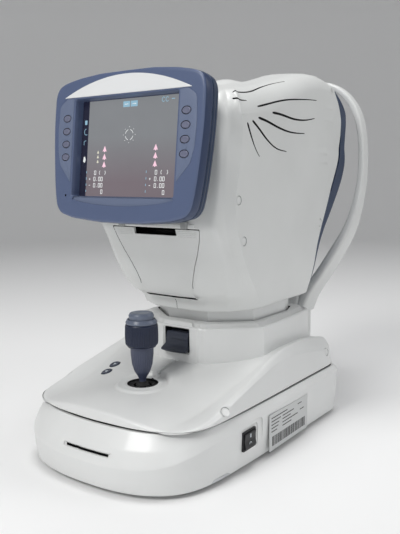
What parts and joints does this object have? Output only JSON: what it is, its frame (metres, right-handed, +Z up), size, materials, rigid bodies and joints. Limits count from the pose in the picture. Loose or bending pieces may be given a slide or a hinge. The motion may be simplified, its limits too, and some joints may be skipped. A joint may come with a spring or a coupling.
{
  "type": "desktop auto refractometer",
  "caption": "Desktop eye-measuring instrument: tilting operator display, joystick stage, lifting measuring head, and a chinrest under an arched headrest on the patient side.",
  "frame": {"origin": "middle of the footprint, on the table plane under the rubber feet", "axes": "+X to the operator's right, +Y from the operator to the patient, +Z up"},
  "size_m": [0.26, 0.4948, 0.457],
  "materials": {
    "body_white": "fine satin moulded texture",
    "base_white": "fine satin moulded texture",
    "display_grey": "satin blue-grey",
    "display_dark": "satin dark navy",
    "navy_cover": "satin dark navy",
    "joystick_navy": "satin dark navy",
    "key_grey": "satin",
    "silver_trim": "silver white gloss",
    "black_plastic": "fine matt",
    "lever_slate": "satin slate",
    "screen": "lit liquid crystal panel",
    "lens_glass": "coated optical glass",
    "steel": "ground",
    "aluminium": "machined",
    "rubber": "matt",
    "pad_soft": "soft silicone",
    "paper": "plain",
    "board_green": "circuit board",
    "grey_metal": "powder coated"
  },
  "bodies": {
    "root": {"base_cover": "base_white", "base_chassis": "steel", "rubber_feet": "rubber", "gear_racks": "steel", "friction_pad": "black_plastic", "power_supply": "grey_metal", "card_reader": "black_plastic", "chinrest_column": "body_white", "headrest_frame": "body_white", "forehead_pad": "pad_soft", "chin_lift_motor": "grey_metal"},
    "power_rocker": {"power_rocker": "black_plastic"},
    "chin_screw": {"chin_lift_screw": "steel"},
    "chinrest": {"chinrest": "body_white", "chin_papers": "paper"},
    "carriage": {"cross_carriage": "aluminium", "cross_rails": "steel"},
    "pinion": {"pinion_axle": "steel"},
    "stage": {"stage_cover": "base_white", "pedestal_cover": "base_white", "stage_chassis": "aluminium", "lift_guide_rods": "steel", "lift_motor": "grey_metal", "joystick_boot": "rubber"},
    "lock_lever": {"lock_lever": "lever_slate"},
    "chin_up_button": {"chin_up_button": "joystick_navy"},
    "chin_down_button": {"chin_down_button": "joystick_navy"},
    "gimbal": {"joystick_gimbal": "steel"},
    "joystick": {"joystick_stick": "joystick_navy"},
    "joystick_ring": {"joystick_ring": "joystick_navy"},
    "start_button": {"start_button": "joystick_navy"},
    "lift_screw": {"lift_screw": "steel"},
    "head": {"head_shell_left": "body_white", "head_shell_right": "body_white", "patient_cover": "navy_cover", "measuring_window": "lens_glass", "head_neck": "grey_metal", "optical_bench": "aluminium", "objective_barrel": "black_plastic", "objective_lens": "lens_glass", "camera_module": "black_plastic", "main_board": "board_green", "display_bracket": "aluminium", "print_mechanism": "black_plastic", "screw_caps": "base_white"},
    "printer_cover": {"printer_cover": "body_white"},
    "paper_roll": {"paper_roll": "paper"},
    "platen": {"platen_roller": "rubber"},
    "display": {"display_bezel": "display_grey", "display_rear_shell": "display_dark", "lcd_panel": "screen", "display_trim": "silver_trim"},
    "display_key_left_1": {"display_key_left_1": "key_grey"},
    "display_key_left_2": {"display_key_left_2": "key_grey"},
    "display_key_left_3": {"display_key_left_3": "key_grey"},
    "display_key_left_4": {"display_key_left_4": "key_grey"},
    "display_key_right_1": {"display_key_right_1": "key_grey"},
    "display_key_right_2": {"display_key_right_2": "key_grey"},
    "display_key_right_3": {"display_key_right_3": "key_grey"},
    "display_key_right_4": {"display_key_right_4": "key_grey"}
  },
  "joints": [
    {"name": "carriage_slide", "type": "slide", "parent": "root", "child": "carriage", "axis": [0, 1, 0], "range_m": [-0.022, 0.016]},
    {"name": "pinion_spin", "type": "hinge", "parent": "carriage", "child": "pinion", "pos_m": [0, 0.03, 0.0772], "axis": [1, 0, 0], "range_deg": [-165, 165]},
    {"name": "stage_slide", "type": "slide", "parent": "carriage", "child": "stage", "axis": [1, 0, 0], "range_m": [-0.042, 0.042]},
    {"name": "lock_lever_flip", "type": "hinge", "parent": "stage", "child": "lock_lever", "pos_m": [0, -0.062, 0.128], "axis": [1, 0, 0], "range_deg": [-20, 0]},
    {"name": "head_lift", "type": "slide", "parent": "stage", "child": "head", "axis": [0, 0, 1], "range_m": [-0.015, 0.015]},
    {"name": "lift_screw_spin", "type": "hinge", "parent": "stage", "child": "lift_screw", "pos_m": [0, 0.06, 0.15], "axis": [0, 0, 1], "range_deg": [-545, 545]},
    {"name": "joystick_tilt_fore_aft", "type": "hinge", "parent": "stage", "child": "gimbal", "pos_m": [0, -0.141, 0.076], "axis": [1, 0, 0], "range_deg": [-10, 10]},
    {"name": "joystick_tilt_side", "type": "hinge", "parent": "gimbal", "child": "joystick", "pos_m": [0, -0.141, 0.076], "axis": [0, 1, 0], "range_deg": [-10, 10]},
    {"name": "joystick_ring_turn", "type": "hinge", "parent": "joystick", "child": "joystick_ring", "pos_m": [0, -0.141, 0.144], "axis": [0, 0, 1], "range_deg": [-275, 275]},
    {"name": "start_button_press", "type": "slide", "parent": "joystick", "child": "start_button", "axis": [0, 0, -1], "range_m": [0, 0.0012]},
    {"name": "chin_up_press", "type": "slide", "parent": "stage", "child": "chin_up_button", "axis": [0, 0, -1], "range_m": [0, 0.001]},
    {"name": "chin_down_press", "type": "slide", "parent": "stage", "child": "chin_down_button", "axis": [0, 0, -1], "range_m": [0, 0.001]},
    {"name": "display_tilt", "type": "hinge", "parent": "head", "child": "display", "pos_m": [0, -0.118, 0.385], "axis": [-1, 0, 0], "range_deg": [0, 30]},
    {"name": "printer_cover_open", "type": "hinge", "parent": "head", "child": "printer_cover", "pos_m": [0, -0.086, 0.181], "axis": [1, 0, 0], "range_deg": [0, 75]},
    {"name": "platen_spin", "type": "hinge", "parent": "head", "child": "platen", "pos_m": [0, -0.098, 0.25], "axis": [1, 0, 0], "continuous": true},
    {"name": "paper_roll_spin", "type": "hinge", "parent": "head", "child": "paper_roll", "pos_m": [0, -0.07, 0.222], "axis": [1, 0, 0], "continuous": true},
    {"name": "chinrest_lift", "type": "slide", "parent": "root", "child": "chinrest", "axis": [0, 0, 1], "range_m": [-0.03, 0.022]},
    {"name": "chin_screw_spin", "type": "hinge", "parent": "root", "child": "chin_screw", "pos_m": [0, 0.186, 0.1], "axis": [0, 0, 1], "range_deg": [-1085, 800]},
    {"name": "power_rocker_tip", "type": "hinge", "parent": "root", "child": "power_rocker", "pos_m": [0.124, -0.1115, 0.0355], "axis": [0, 1, 0], "range_deg": [-7, 7]},
    {"name": "key_left_1_press", "type": "slide", "parent": "display", "child": "display_key_left_1", "axis": [0, 0.993, -0.1182], "range_m": [0, 0.0008]},
    {"name": "key_left_2_press", "type": "slide", "parent": "display", "child": "display_key_left_2", "axis": [0, 0.993, -0.1182], "range_m": [0, 0.0008]},
    {"name": "key_left_3_press", "type": "slide", "parent": "display", "child": "display_key_left_3", "axis": [0, 0.993, -0.1182], "range_m": [0, 0.0008]},
    {"name": "key_left_4_press", "type": "slide", "parent": "display", "child": "display_key_left_4", "axis": [0, 0.993, -0.1182], "range_m": [0, 0.0008]},
    {"name": "key_right_1_press", "type": "slide", "parent": "display", "child": "display_key_right_1", "axis": [0, 0.993, -0.1182], "range_m": [0, 0.0008]},
    {"name": "key_right_2_press", "type": "slide", "parent": "display", "child": "display_key_right_2", "axis": [0, 0.993, -0.1182], "range_m": [0, 0.0008]},
    {"name": "key_right_3_press", "type": "slide", "parent": "display", "child": "display_key_right_3", "axis": [0, 0.993, -0.1182], "range_m": [0, 0.0008]},
    {"name": "key_right_4_press", "type": "slide", "parent": "display", "child": "display_key_right_4", "axis": [0, 0.993, -0.1182], "range_m": [0, 0.0008]}
  ],
  "couplings": [
    {"joint": "pinion_spin", "follows": "carriage_slide", "rad_per_m": -125},
    {"joint": "lift_screw_spin", "follows": "head_lift", "rad_per_m": 628.32},
    {"joint": "joystick_ring_turn", "follows": "head_lift", "rad_per_m": 314.16},
    {"joint": "platen_spin", "follows": "paper_roll_spin", "ratio": -4.4},
    {"joint": "chin_screw_spin", "follows": "chinrest_lift", "rad_per_m": 628.32}
  ]
}
